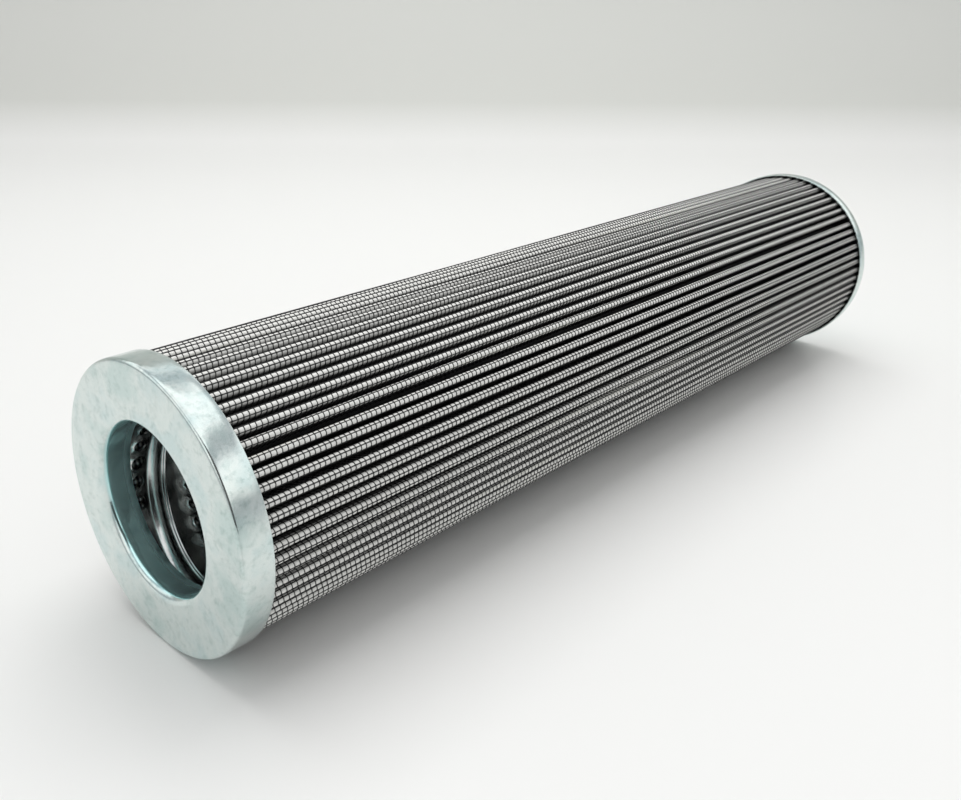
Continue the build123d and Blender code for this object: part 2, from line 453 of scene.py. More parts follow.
def long_wires():
    """Wires along the element, one wherever the cloth's count of wires falls near a crest.

    The distance of wire number n from a crest's top is n wire pitches less that fold's offset.
    """
    along = wire_numbers[:, None] * WIRE_PITCH - wire_offset
    keep = np.abs(along) < LONG_WIRE_REACH
    along = np.broadcast_to(along[..., None], (*along.shape, FOLD_ROWS))
    flat, normal = crest_points(along, WIRE_DEPTH)
    points, normals = raised(flat, normal, row_heights[:, None])
    points, normals = points[keep], normals[keep]
    aside = np.cross(normals, [0.0, 0.0, 1.0])
    print(len(points), "long wires")
    return fill_mesh("long_wires", *three_sided(points, normals, aside))


wires.append(add_piece(long_wires(), "black_wire", "outer_wire_mesh"))

# %% [markdown]
# ## Pressed caps
#
# Both caps are drawn from thin sheet in a press, which leaves a flat face, a rounded corner and a
# straight skirt. The open cap's hole is drawn inwards as a collar, over a wider bend. A turned solid
# with bevels would do, but its face would reflect like a mirror. So each cap is a profile turned
# round the axis, outer side up and inner side down, and slow waves a few hundredths of a millimetre
# deep bend its reflections as in real sheet. They only go inwards, so the cap keeps its size.

# %% Helpers for turned profiles
CAP_SEGMENTS = 192
PRESS_DEPTH = 0.035
PRESS_LENGTH = 16.0  # a wave's length is about six times this


def arc(centre, radius, start, stop, count):
    """Points of a profile, as radius and height, round a centre between two angles in degrees."""
    turn = np.radians(np.linspace(start, stop, count))
    return np.stack([centre[0] + radius * np.cos(turn), centre[1] + radius * np.sin(turn)], -1)


def line(start, stop, count):
    """Evenly spaced points of a profile from start to stop, without the two ends."""
    part = np.linspace(0, 1, count + 2)[1:-1, None]
    return np.array(start) * (1 - part) + np.array(stop) * part


def turn_profile(profile):
    """Points of a profile of (radius, height) carried round the axis, as (points, segments, 3)."""
    turn = np.arange(CAP_SEGMENTS) * 2 * np.pi / CAP_SEGMENTS
    flat = polar(profile[:, :1], turn)
    tall = np.broadcast_to(profile[:, 1, None, None], (*flat.shape[:2], 1))
    return np.concatenate([flat, tall], -1)


def press_marks(points, seed):
    """Slow waves between 0 and the press depth: half of it times one plus the mean of six sines."""
    waves = np.random.default_rng(seed)
    direction = waves.normal(size=(6, 3)) / PRESS_LENGTH
    phase = waves.uniform(0, 2 * np.pi, 6)
    return PRESS_DEPTH * (0.5 + np.sin(points @ direction.T + phase).sum(-1) / 12)


print("points of a quarter bend:", arc((0, 0), 1, 0, 90, 3).round(2).tolist())

# %% Open cap
CAP_SHEET = 0.6
CORNER_INSIDE = 0.5
LIP_INSIDE = 1.4
SKIRT_ROUND = 0.15  # radius of the skirt's sheared edge
COLLAR_ROUND = 0.2  # the same for the collar, on its inner side
COLLAR_BURR = 0.08  # and on its outer side
COLLAR_TEAR = 0.22  # how ragged the collar's edge is
EDGE_FLAT = 0.1  # width of the flat on a skirt's edge, and of what counts as the collar's edge
corner_radius = CORNER_INSIDE + CAP_SHEET
lip_radius = LIP_INSIDE + CAP_SHEET
corner = (CAP_RADIUS - corner_radius, TOP - corner_radius)
lip = (BORE_RADIUS + lip_radius, TOP - lip_radius)


def open_cap_profile():
    """Closed profile of the open cap, from the skirt's edge over the face and down the collar."""
    skirt_inside, burr = CAP_RADIUS - CAP_SHEET, BORE_RADIUS + CAP_SHEET - COLLAR_BURR
    return np.concatenate([
        arc((CAP_RADIUS - SKIRT_ROUND, SKIRT_EDGE + SKIRT_ROUND), SKIRT_ROUND, -60, 0, 3),
        line((CAP_RADIUS, SKIRT_EDGE), (CAP_RADIUS, corner[1]), 4),
        arc(corner, corner_radius, 0, 90, 7),
        line((corner[0], TOP), (lip[0], TOP), 6),
        arc(lip, lip_radius, 90, 180, 8),
        line((BORE_RADIUS, lip[1]), (BORE_RADIUS, COLLAR_EDGE), 3),
        arc((BORE_RADIUS + COLLAR_ROUND, COLLAR_EDGE + COLLAR_ROUND), COLLAR_ROUND, 180, 270, 3),
        arc((burr, COLLAR_EDGE + COLLAR_BURR), COLLAR_BURR, 270, 360, 2),
        arc(lip, LIP_INSIDE, 180, 90, 5),
        arc(corner, CORNER_INSIDE, 90, 0, 4),
        [(skirt_inside, SKIRT_EDGE), (skirt_inside + EDGE_FLAT, SKIRT_EDGE)],
    ])


def open_cap():
    """The open cap, with a torn edge where the collar's hole was pierced before it was drawn."""
    profile = open_cap_profile()
    points = turn_profile(profile)
    points[..., 2] -= press_marks(points, 5)
    edge = np.abs(profile[:, 1] - COLLAR_EDGE) < EDGE_FLAT
    points[edge, :, 2] += np.random.default_rng(8).uniform(0, COLLAR_TEAR, (edge.sum(), CAP_SEGMENTS))
    faces = grid_faces(*points.shape[:2], close_rows=True, close_columns=True)
    return fill_mesh("open_cap_plated", points.reshape(-1, 3), faces)


open_cap_piece = add_piece(open_cap(), "zinc_plate", "open_end_cap")

# %% Closed cap
FACE_DISH = 0.02  # how far the middle of the closed face stands in
FACE_ZONE = 1.0  # the press marks stay below this height


def closed_cap():
    """The closed cap: a dish whose profile starts and ends on the axis, with one point at each end."""
    bend = (CAP_RADIUS - corner_radius, corner_radius)
    profile = np.concatenate([
        line((0, 0), (bend[0], 0), 9),
        arc(bend, corner_radius, -90, 0, 7),
        arc((CAP_RADIUS - SKIRT_ROUND, CLOSED_SKIRT_EDGE - SKIRT_ROUND), SKIRT_ROUND, 0, 90, 3),
        [(CAP_RADIUS - CAP_SHEET, CLOSED_SKIRT_EDGE)],
        arc(bend, CORNER_INSIDE, 0, -90, 4),
        line((bend[0], CAP_SHEET), (0, CAP_SHEET), 3),
    ])
    points = turn_profile(profile)
    points[..., 2] += press_marks(points, 6) * (points[..., 2] < FACE_ZONE)
    rows, columns = points.shape[:2]
    points = np.concatenate([points.reshape(-1, 3), [[0, 0, FACE_DISH], [0, 0, CAP_SHEET]]])
    ring = np.arange(columns)
    after = (ring + 1) % columns
    last = (rows - 1) * columns
    outer_fan = np.stack([np.full(columns, rows * columns), after, ring], -1)
    inner_fan = np.stack([np.full(columns, rows * columns + 1), last + ring, last + after], -1)
    faces = grid_faces(rows, columns, close_columns=True)
    return fill_mesh("closed_cap_plated", points, faces, outer_fan, inner_fan)


closed_cap_piece = add_piece(closed_cap(), "zinc_plate", "closed_end_cap")

# %% [markdown]
# ## Wound support tube
#
# The tube inside is wound from a perforated steel strip. The strip's edges are folded into each
# other as a lock seam, which climbs the tube like a thread. Seen through the open cap there is a
# raised band with one steep and one gentle side, two thin ribs beside it, a plain band, and then
# rows of round holes whose edges the punch pushed inwards. Cutting hundreds of holes out of a tube
# is slow and leaves ragged faces. So the strip is drawn flat, as turns along it and millimetres
# across it, and then wound: each flat point gets its angle, and its height is the seam's height at
# that angle plus its place across.

# %% Plain bands of the strip
TUBE_WALL = 0.6
SEAM_RISE = 0.45
SEAM_ADVANCE = 26.0  # per turn
SEAM_CROSSING = 24.5  # a height at which the lock seam crosses +X
TUBE_OUTSIDE = SEAM_BACK - SEAM_RISE
TUBE_INSIDE = TUBE_OUTSIDE - TUBE_WALL
COLUMNS_PER_TURN = 54
HOLE_ROWS = np.array([4.3, 9.5, 14.7, 19.9])  # edges of the rows of holes, across the strip
PLAIN_BELOW = np.array([0, 0.25, 0.45, 0.8, 1.3, 1.9, 2.5, 3.0, 3.4, 3.7, HOLE_ROWS[0]])
PLAIN_ABOVE = np.array([HOLE_ROWS[-1], 22.6, 24.35, 24.5, 24.85, 25.05, 25.2, 25.55, SEAM_ADVANCE])
column_turn = 2 * np.pi / COLUMNS_PER_TURN


def column_at(height):
    """Number of the column, with its fraction, whose seam is at a height."""
    return (height - SEAM_CROSSING) / SEAM_ADVANCE * COLUMNS_PER_TURN


first_column = int(np.floor(column_at(PACK_LOW - SEAM_ADVANCE))) - 2
last_column = int(np.ceil(column_at(PACK_HIGH))) + 2
columns = np.arange(first_column - first_column % 2, last_column + 1 + last_column % 2)


def plain_band(across):
    """Flat points (turn, across) and faces of a band without holes."""
    v, u = np.meshgrid(across, columns * column_turn, indexing="ij")
    return np.stack([u, v], -1).reshape(-1, 2), grid_faces(len(across), len(columns))


print(f"the strip winds {len(columns) / COLUMNS_PER_TURN:.1f} turns before its ends are cut")

# %% Punched cells of the strip
HOLE_RADIUS = 1.9
END_MARGIN = 5.0  # the tube's ends have no holes
EDGE_U = np.array([1, 1, 0, -1, -1, -1, 0, 1])  # the eight points on a cell's edge
EDGE_V = np.array([0, 1, 1, 1, 0, -1, -1, -1])
RING_TURN = np.arange(16) * np.pi / 8  # the sixteen points round its hole
CELL_POINTS = 25  # eight, sixteen and a middle one


def holed_cells(row):
    """Flat points, quads, triangles and hole rings of one row of cells, each with a round hole.

    Every second row starts half a cell later. Between the edge and the hole lie a quad and a
    triangle for each of the eight edge points. Near the tube's ends a cell is a fan of eight
    triangles round its middle point, in place of the hole.
    """
    low, high = HOLE_ROWS[row], HOLE_ROWS[row + 1]
    middle = (columns[1:-1:2] + row % 2) * column_turn
    ring_u, ring_v = HOLE_RADIUS / TUBE_OUTSIDE * np.cos(RING_TURN), HOLE_RADIUS * np.sin(RING_TURN)
    u = middle[:, None] + np.concatenate([EDGE_U * column_turn, ring_u, [0]])
    v = (low + high) / 2 + np.concatenate([EDGE_V * (high - low) / 2, ring_v, [0]])
    height = SEAM_CROSSING + SEAM_ADVANCE * middle / (2 * np.pi) + (low + high) / 2
    holed = (height > PACK_LOW + END_MARGIN) & (height < PACK_HIGH - END_MARGIN)
    k = np.arange(8)
    wide = np.stack([k, (k + 1) % 8, 8 + (2 * k + 2) % 16, 8 + 2 * k + 1], -1)
    thin = np.stack([k, 8 + 2 * k + 1, 8 + 2 * k], -1)
    shut = np.stack([k, (k + 1) % 8, np.full(8, CELL_POINTS - 1)], -1)
    starts = (np.arange(len(middle)) * CELL_POINTS)[:, None, None]
    holes, blanks = starts[holed], starts[~holed]
    flat = np.stack([u, np.broadcast_to(v, u.shape)], -1).reshape(-1, 2)
    triangles = np.concatenate([(thin + holes).reshape(-1, 3), (shut + blanks).reshape(-1, 3)])
    return flat, (wide + holes).reshape(-1, 4), triangles, 8 + np.arange(16) + holes[:, 0]


def strip_parts():
    """All flat points of the strip, with its quads, triangles and the rings of its holes."""
    bands = [plain_band(PLAIN_BELOW), plain_band(PLAIN_ABOVE)]
    rows = [holed_cells(row) for row in range(len(HOLE_ROWS) - 1)]
    flats, quads, triangles, rings, start = [], [], [], [], 0
    for flat, faces, *holed in bands + rows:
        flats.append(flat)
        quads.append(faces + start)
        if holed:
            triangles.append(holed[0] + start)
            rings.append(holed[1] + start)
        start += len(flat)
    return [np.concatenate(parts) for parts in (flats, quads, triangles, rings)]


strip = strip_parts()
print(len(strip[3]), "holes in the strip")

# %% [markdown]
# ### Winding and trimming
#
# The wound strip has an outer face and an inner one, and a wall round each hole joins the two. The
# inner face stands inwards at the seam and the ribs, and at a hole's edge both faces bend inwards, as
# the punch leaves them. A real tube is cut to length with a saw, and so is this one: two level cuts,
# each closed by a flat ring.

# %% Trim the tube
MERGED = 1e-6  # in metres: points closer than this become one
LEVEL = 1e-7  # as near as this to a cut counts as on it
NEAR_CUT = 1e-5


def trim_tube(mesh):
    """Joins the turns of the strip along its seam, and cuts both ends flat and closes them."""
    shape = bmesh.new()
    shape.from_mesh(mesh)
    bmesh.ops.remove_doubles(shape, verts=shape.verts, dist=MERGED)
    for height, side in ((PACK_LOW, -1), (PACK_HIGH, 1)):
        everything = [*shape.verts, *shape.edges, *shape.faces]
        plane = {"plane_co": (0, 0, height * MM), "plane_no": (0, 0, side)}
        bmesh.ops.bisect_plane(shape, geom=everything, dist=LEVEL, clear_outer=True, **plane)
        ends = [edge for edge in shape.edges if edge.is_boundary]
        rim = [edge for edge in ends if abs(edge.verts[0].co.z - height * MM) < NEAR_CUT]
        bmesh.ops.bridge_loops(shape, edges=rim)
    bmesh.ops.recalc_face_normals(shape, faces=shape.faces)
    open_edges = sum(edge.is_boundary for edge in shape.edges)
    shape.to_mesh(mesh)
    shape.free()
    print("wound tube: open edges", open_edges)


# %% Wind the strip
RISE_BELOW = np.array([0, 0, 0.55, 0.78, 0.84, 0.76, 0.58, 0.38, 0.2, 0, 0])  # inwards, at the seam
RISE_ABOVE = np.array([0, 0, 0, 0.26, 0, 0, 0.26, 0, 0])  # two thin ribs
BAND_ACROSS = np.array([0, 0.4, 0.8, 3.1, 3.5])  # the seam's back, outside
BAND_RISE = np.array([0, 0, SEAM_RISE, SEAM_RISE, 0])
PUNCHED_LIP = 0.5  # how far a hole's edge is pushed inwards
SHARP = radians(40)  # edges that bend more than this stay sharp


def wind(flat, radius):
    """Points of the wound strip: the turn gives the direction, and the height climbs with it."""
    turn, across = flat.T
    tall = SEAM_CROSSING + SEAM_ADVANCE * turn / (2 * np.pi) + across
    return np.concatenate([polar(radius, turn), tall[:, None]], -1)


def used_only(points, *face_sets):
    """The points that faces use, and the faces with their numbers among those.

    A holed cell leaves its middle point over, and a blank cell the ring of its hole.
    """
    used = np.unique(np.concatenate([faces.ravel() for faces in face_sets]))
    numbers = np.zeros(len(points), int)
    numbers[used] = np.arange(len(used))
    return points[used], *[numbers[faces] for faces in face_sets]


def wound_tube():
    """The strip's outer and inner faces, the walls of its holes, and its trimmed ends."""
    flat, quads, triangles, rings = strip
    rise = np.interp(flat[:, 1], np.r_[PLAIN_BELOW, PLAIN_ABOVE], np.r_[RISE_BELOW, RISE_ABOVE])
    band = np.interp(flat[:, 1], BAND_ACROSS, BAND_RISE)
    lips = rings.ravel()
    rise[lips] += PUNCHED_LIP
    band[lips] -= PUNCHED_LIP
    points = np.concatenate([wind(flat, TUBE_OUTSIDE + band), wind(flat, TUBE_INSIDE - rise)])
    behind = len(flat)
    walls = np.stack([rings, np.roll(rings, -1, 1), np.roll(rings, -1, 1) + behind, rings + behind], -1)
    all_quads = np.concatenate([quads, quads[:, ::-1] + behind, walls.reshape(-1, 4)])
    all_triangles = np.concatenate([triangles, triangles[:, ::-1] + behind])
    mesh = fill_mesh("wound_tube", *used_only(points, all_quads, all_triangles))
    trim_tube(mesh)
    mesh.shade_smooth()
    mesh.set_sharp_from_angle(angle=SHARP)
    return mesh


wound_tube_piece = add_piece(wound_tube(), "tube_steel", "core_tube")

# %% [markdown]
# ## Finishes
#
# A finish is a small tree of shader nodes. One helper adds a node with its settings and its links,
# and another turns a written colour into the linear values that the renderer works in. Patterns are
# given in millimetres and read the piece's own coordinates, so they stay on it from every side.

# %% Colours and nodes
def linear(code):
    """Linear colour from a written sRGB one: v/12.92 when dark, ((v + 0.055)/1.055)^2.4 otherwise."""
    values = [int(code[i:i + 2], 16) / 255 for i in (1, 3, 5)]
    return (*[v / 12.92 if v <= 0.04045 else ((v + 0.055) / 1.055) ** 2.4 for v in values], 1.0)


def add_node(tree, kind, settings=None, links=None, stops=()):
    """Adds one node, sets its fields and sockets, and links its sockets to other nodes' outputs.

    Settings are fields by name or sockets by name or number. Links map a socket to (node, output).
    Stops are the positions and written colours of a colour ramp, which starts with two of them.
    """
    node = tree.nodes.new("ShaderNode" + kind)
    settings = settings or {}
    fields = [key for key in settings if isinstance(key, str) and hasattr(node, key)]
    for key in fields:
        setattr(node, key, settings[key])
    for key in settings:
        if key not in fields:
            node.inputs[key].default_value = settings[key]
    for socket, (source, output) in (links or {}).items():
        tree.links.new(source.outputs[output], node.inputs[socket])
    for _ in stops[2:]:
        node.color_ramp.elements.new(1.0)
    for number, (position, code) in enumerate(stops):
        node.color_ramp.elements[number].position = position
        node.color_ramp.elements[number].color = linear(code)
    return node


print("mid grey in linear light:", [round(value, 3) for value in linear("#808080")])

# %% Start and keep a finish
finishes = {}


def new_finish(name):
    """Empty material with a surface shader, as (material, tree, shader)."""
    material = bpy.data.materials.new(name)
    material.use_nodes = True
    tree = material.node_tree
    return material, tree, tree.nodes["Principled BSDF"]


def set_shader(shader, **sockets):
    """Sets constants on the shader itself. Names are the sockets' names with _ for a space."""
    for name, value in sockets.items():
        shader.inputs[name.replace("_", " ")].default_value = value


def link_shader(tree, shader, **sockets):
    """Links the shader's sockets, named as above, each to its (node, output)."""
    for name, (source, output) in sockets.items():
        tree.links.new(source.outputs[output], shader.inputs[name.replace("_", " ")])


def noise_scale(size):
    """Scale at which the largest spots of a noise are about the given size in millimetres."""
    return 1 / (size * MM)


def keep_finish(slot, material):
    """Keeps a finish under the name of the slot that it is for."""
    finishes[slot] = material
    print(f"{slot}: {material.name}, {len(material.node_tree.nodes)} nodes")


# %% [markdown]
# ### Blue zinc
#
# The caps are plated with zinc and dipped in a clear blue passivate, which gives a pale, cool, satin
# metal. It is slightly greener or bluer in patches where the bath was thicker, and dried drops leave
# small grey marks. The press drew the sheet into low waves. Inside the collar the passivate stands
# thicker and looks bluer, and towards the collar's torn edge the metal is rough. One plain metal
# colour would look like chrome, so each of these is a pattern of its own size.

# %% Colour and relief of the zinc
ZINC_MARK = 1.8  # sizes of the patterns, in millimetres
DRAWN_WAVE = 4.5
ZINC_GRAIN = 0.5  # the real grain is a tenth of this, which is too fine to show


def zinc_colour(tree, here, patches):
    """Tint of the patches, half multiplied by the grey of the marks."""
    tint = add_node(
        tree, "ValToRGB", links={"Fac": (patches, "Fac")},
        stops=((0.36, "#C7D7D4"), (0.5, "#DAE3E0"), (0.64, "#CBDBDA")),
    )
    marks = add_node(
        tree, "TexNoise",
        {"Scale": noise_scale(ZINC_MARK), "Detail": 5, "Roughness": 0.65}, {"Vector": here},
    )
    marked = add_node(
        tree, "ValToRGB", links={"Fac": (marks, "Fac")}, stops=((0.3, "#C0CCCA"), (0.5, "#FFFFFF"))
    )
    return add_node(
        tree, "Mix", {"data_type": "RGBA", "blend_type": "MULTIPLY", 0: 0.5},
        {6: (tint, "Color"), 7: (marked, "Color")},
    )


def zinc_relief(tree, here):
    """Fine grain on the drawn waves, as one bump on the other."""
    drawn = add_node(
        tree, "TexNoise",
        {"Scale": noise_scale(DRAWN_WAVE), "Detail": 2, "Roughness": 0.5}, {"Vector": here},
    )
    waves = add_node(tree, "Bump", {"Strength": 0.6, "Distance": 0.12 * MM}, {"Height": (drawn, "Fac")})
    grain = add_node(
        tree, "TexNoise",
        {"Scale": noise_scale(ZINC_GRAIN), "Detail": 3, "Roughness": 0.6}, {"Vector": here},
    )
    return add_node(
        tree, "Bump", {"Strength": 0.25, "Distance": 0.03 * MM},
        {"Height": (grain, "Fac"), "Normal": (waves, "Normal")},
    )


print("zinc: marks", ZINC_MARK, "mm, waves", DRAWN_WAVE, "mm, grain", ZINC_GRAIN, "mm")

# %% Blue zinc finish
ZINC_PATCH = 14
COLLAR_ROUGH = 3.5  # height above the torn edge at which the metal starts to get rough
COLLAR_BLUE = (0.1, 0.5)  # outside the bore: all of the blue, and none of it


def reach_from_axis(tree, here):
    """Distance of a place from the element's axis: the length of its x and y."""
    flat = add_node(tree, "VectorMath", {"operation": "MULTIPLY", 1: (1, 1, 0)}, {0: here})
    return add_node(tree, "VectorMath", {"operation": "LENGTH"}, {0: (flat, 0)})


def blue_zinc():
    """Zinc whose roughness follows the patches, except in the collar, where it rises to the edge."""
    material, tree, shader = new_finish("blue_passivated_zinc")
    here = (add_node(tree, "TexCoord"), "Object")
    patches = add_node(
        tree, "TexNoise",
        {"Scale": noise_scale(ZINC_PATCH), "Detail": 4, "Roughness": 0.6}, {"Vector": here},
    )
    collar = add_node(
        tree, "MapRange",
        {1: (BORE_RADIUS + COLLAR_BLUE[1]) * MM, 2: (BORE_RADIUS + COLLAR_BLUE[0]) * MM},
        {0: (reach_from_axis(tree, here), "Value")},
    )
    split = add_node(tree, "SeparateXYZ", links={0: here})
    torn = add_node(
        tree, "MapRange", {1: (COLLAR_EDGE + COLLAR_ROUGH) * MM, 2: COLLAR_EDGE * MM, 4: 0.6},
        {0: (split, "Z")},
    )
    dull = add_node(tree, "MapRange", {1: 0.3, 2: 0.7, 3: 0.12, 4: 0.22}, {0: (patches, "Fac")})
    torn_collar = add_node(tree, "Math", {"operation": "MULTIPLY"}, {0: (collar, 0), 1: (torn, 0)})
    rough = add_node(tree, "Math", {"operation": "MAXIMUM"}, {0: (dull, 0), 1: (torn_collar, 0)})
    bluer = add_node(
        tree, "Mix", {"data_type": "RGBA", 7: linear("#C6ECEC")},
        {0: (collar, 0), 6: (zinc_colour(tree, here, patches), 2)},
    )
    relief = zinc_relief(tree, here)
    link_shader(tree, shader, Base_Color=(bluer, 2), Roughness=(rough, 0), Normal=(relief, "Normal"))
    set_shader(shader, Metallic=0.85)
    return material


keep_finish("zinc_plate", blue_zinc())

# %% [markdown]
# ### Black wire
#
# The wire is steel with a thin coat of black epoxy. So it isn't metallic: it is nearly black, with a
# dull shine along its back that shows that it is round. The coat is a little greyer where it wears.

# %% Black wire finish
def black_wire():
    """Nearly black coat, slightly greyer in patches of 6 mm."""
    material, tree, shader = new_finish("black_epoxy_coated_wire")
    worn = add_node(
        tree, "TexNoise", {"Scale": noise_scale(6), "Detail": 3, "Roughness": 0.55},
        {"Vector": (add_node(tree, "TexCoord"), "Object")},
    )
    colour = add_node(
        tree, "ValToRGB", links={"Fac": (worn, "Fac")}, stops=((0.35, "#060606"), (0.7, "#0E0E0F"))
    )
    link_shader(tree, shader, Base_Color=(colour, "Color"))
    set_shader(shader, Roughness=0.42, IOR=1.5)
    return material


keep_finish("black_wire", black_wire())

# %% [markdown]
# ### Fleece
#
# The fleece is bonded polyester: matt and off-white, and pressed down where a wire crosses it, so it
# looks padded. Its map counts wires, so the height of the padding is the product of two sines of the map,
# one along each direction. The same product greys the colour towards each wire as a painted contact
# shadow. A fibre is far too fine to show, so the clouds of 2.5 mm stand for bunches of them. Down in the
# folds the colour turns near black: painted shade, which also stands for the wires that are not drawn
# there.

# %% Fleece finish
PAINTED_SHADE_START = 0.8  # below the tops of the folds: from here down painted shade darkens the colour
PAINTED_SHADE_FULL = 2.3


def padding(tree, direction):
    """Absolute sine of one direction of the map, which is nought at each wire."""
    turned = add_node(tree, "Math", {"operation": "MULTIPLY", 1: np.pi}, {0: direction})
    wave = add_node(tree, "Math", {"operation": "SINE"}, {0: (turned, 0)})
    return add_node(tree, "Math", {"operation": "ABSOLUTE"}, {0: (wave, 0)})


def pale_fleece_finish():
    """Off-white fleece, with painted contact shade along the wires and painted shade down in the folds.
    """
    material, tree, shader = new_finish("bonded_polyester_fleece")
    here = (add_node(tree, "TexCoord"), "Object")
    split = add_node(
        tree, "SeparateXYZ", links={0: (add_node(tree, "UVMap", {"uv_map": "wire_meshes"}), "UV")}
    )
    pads = add_node(
        tree, "Math", {"operation": "MULTIPLY"},
        {0: (padding(tree, (split, "X")), 0), 1: (padding(tree, (split, "Y")), 0)},
    )
    # painted shade: 1 near the tops of the folds, falling to 0 deep down, where the colour turns near
    # black
    high = add_node(
        tree, "MapRange", {1: (CREST_TOP - PAINTED_SHADE_FULL) * MM, 2: (CREST_TOP - PAINTED_SHADE_START) * MM},
        {0: (reach_from_axis(tree, here), "Value")},
    )
    fibres = add_node(
        tree, "TexNoise", {"Scale": noise_scale(2.5), "Detail": 4, "Roughness": 0.7}, {"Vector": here}
    )
    pale = add_node(
        tree, "ValToRGB", links={"Fac": (fibres, "Fac")}, stops=((0.3, "#E4E4E0"), (0.7, "#F2F2EE"))
    )
    # painted contact shade: the colour greys towards each wire
    wire_contact_shade = add_node(
        tree, "ValToRGB", links={"Fac": (pads, 0)}, stops=((0.0, "#4C4C4A"), (0.35, "#FFFFFF"))
    )
    seen = add_node(
        tree, "Mix", {"data_type": "RGBA", "blend_type": "MULTIPLY", 0: 0.8},
        {6: (pale, "Color"), 7: (wire_contact_shade, "Color")},
    )
    # painted shade deep in the folds, which also stands for the wires that are not drawn there
    colour = add_node(
        tree, "Mix", {"data_type": "RGBA", 6: linear("#0E0E0E")}, {0: (high, 0), 7: (seen, 2)}
    )
    bump = add_node(tree, "Bump", {"Strength": 0.45, "Distance": 0.2 * MM}, {"Height": (pads, 0)})
    link_shader(tree, shader, Base_Color=(colour, 2), Normal=(bump, "Normal"))
    set_shader(shader, Roughness=0.85, Sheen_Weight=0.15)
    return material


keep_finish("fleece", pale_fleece_finish())

# %% [markdown]
# ### Galvanised strip
#
# The tube's strip is hot-dip galvanised and rolled, so it is brighter and smoother than the caps,
# with soft clouds of a few millimetres. It stands in the dark, where only its reflections show, so
# the roughness matters more than the colour. The rolled grain is drawn at 0.8 mm, about ten times
# its real size, because it would be too fine to show.

# %% Galvanised strip finish
def rolled_strip():
    """Bright metal with clouds of 7 mm in its colour and roughness."""
    material, tree, shader = new_finish("galvanised_rolled_strip")
    here = (add_node(tree, "TexCoord"), "Object")
    clouds = add_node(
        tree, "TexNoise", {"Scale": noise_scale(7), "Detail": 4, "Roughness": 0.55}, {"Vector": here}
    )
    colour = add_node(
        tree, "ValToRGB", links={"Fac": (clouds, "Fac")}, stops=((0.35, "#A8ABAB"), (0.65, "#DFE0DE"))
    )
    dull = add_node(tree, "MapRange", {1: 0.3, 2: 0.7, 3: 0.12, 4: 0.24}, {0: (clouds, "Fac")})
    grain = add_node(
        tree, "TexNoise", {"Scale": noise_scale(0.8), "Detail": 3, "Roughness": 0.55}, {"Vector": here}
    )
    bump = add_node(tree, "Bump", {"Strength": 0.3, "Distance": 0.05 * MM}, {"Height": (grain, "Fac")})
    link_shader(tree, shader, Base_Color=(colour, "Color"), Roughness=(dull, 0), Normal=(bump, "Normal"))
    set_shader(shader, Metallic=1.0)
    return material


keep_finish("tube_steel", rolled_strip())

# %% [markdown]
# ### Sheets and adhesive inside
#
# The inner wire cloth is bare steel, the glass fibre sheet and the inner fleece are white and soft,
# and the adhesive is a dark filled epoxy with a dull skin. Hardly any of them shows once the element
# is closed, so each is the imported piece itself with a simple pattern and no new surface.

# %% Bare wire cloth finish
INNER_WIRE_PITCH = 1.3
BANDS_PER_UNIT = 3.18  # what the wave texture draws in one unit at a scale of 1


def bare_wire_cloth():
    """Bare steel cloth, drawn as bands across the element at the pitch of its wires."""
    material, tree, shader = new_finish("bare_steel_wire_cloth")
    scale = 1 / (INNER_WIRE_PITCH * MM) / BANDS_PER_UNIT
    rings = add_node(
        tree, "TexWave", {"bands_direction": "Z", "Scale": scale, "Distortion": 0.4},
        {"Vector": (add_node(tree, "TexCoord"), "Object")},
    )
    colour = add_node(
        tree, "ValToRGB", links={"Fac": (rings, "Fac")}, stops=((0.2, "#55565A"), (0.8, "#B5B5B2"))
    )
    bump = add_node(tree, "Bump", {"Strength": 0.6, "Distance": 0.2 * MM}, {"Height": (rings, "Fac")})
    link_shader(tree, shader, Base_Color=(colour, "Color"), Normal=(bump, "Normal"))
    set_shader(shader, Metallic=1.0, Roughness=0.35)
    return material


keep_finish("plain_wire", bare_wire_cloth())


# %% Soft sheets and adhesive finishes
def clouded(name, dark, light, size, ragged=0.7, strength=0.3, height=0.1, rough=0.9):
    """Matt finish with soft clouds of a size in millimetres, which also stand out by a height."""
    material, tree, shader = new_finish(name)
    clouds = add_node(
        tree, "TexNoise", {"Scale": noise_scale(size), "Detail": 4, "Roughness": ragged},
        {"Vector": (add_node(tree, "TexCoord"), "Object")},
    )
    colour = add_node(
        tree, "ValToRGB", links={"Fac": (clouds, "Fac")}, stops=((0.3, dark), (0.7, light))
    )
    bump = add_node(
        tree, "Bump", {"Strength": strength, "Distance": height * MM}, {"Height": (clouds, "Fac")}
    )
    link_shader(tree, shader, Base_Color=(colour, "Color"), Normal=(bump, "Normal"))
    set_shader(shader, Roughness=rough)
    return material


keep_finish("glass_media", clouded("glass_fibre_sheet", "#DCDCD4", "#EFEFE9", size=3))
keep_finish("inner_fleece", clouded("inner_polyester_fleece", "#CFCECA", "#E2E1DD", size=2.5))
adhesive_skin = {"ragged": 0.6, "strength": 0.5, "height": 0.3, "rough": 0.5}
adhesive = clouded("cured_epoxy_adhesive", "#1D1F20", "#2F3233", size=2.2, **adhesive_skin)
keep_finish("adhesive", adhesive)

# %% Give every piece its finish
NODE_FINISH = {
    "open_end_cap": "zinc_plate",
    "closed_end_cap": "zinc_plate",
    "open_end_adhesive": "adhesive",
    "closed_end_adhesive": "adhesive",
    "side_seam_bead": "adhesive",
    "core_tube": "tube_steel",
    "outer_wire_mesh": "black_wire",
    "outer_fleece": "inner_fleece",
    "inner_fleece": "inner_fleece",
    "glass_fibre_media": "glass_media",
    "inner_wire_mesh": "plain_wire",
}


def give_finish(piece, finish):
    """Puts a finish in every slot of a piece."""
    if not piece.data.materials:
        piece.data.materials.append(finish)
    for index in range(len(piece.data.materials)):
        piece.data.materials[index] = finish


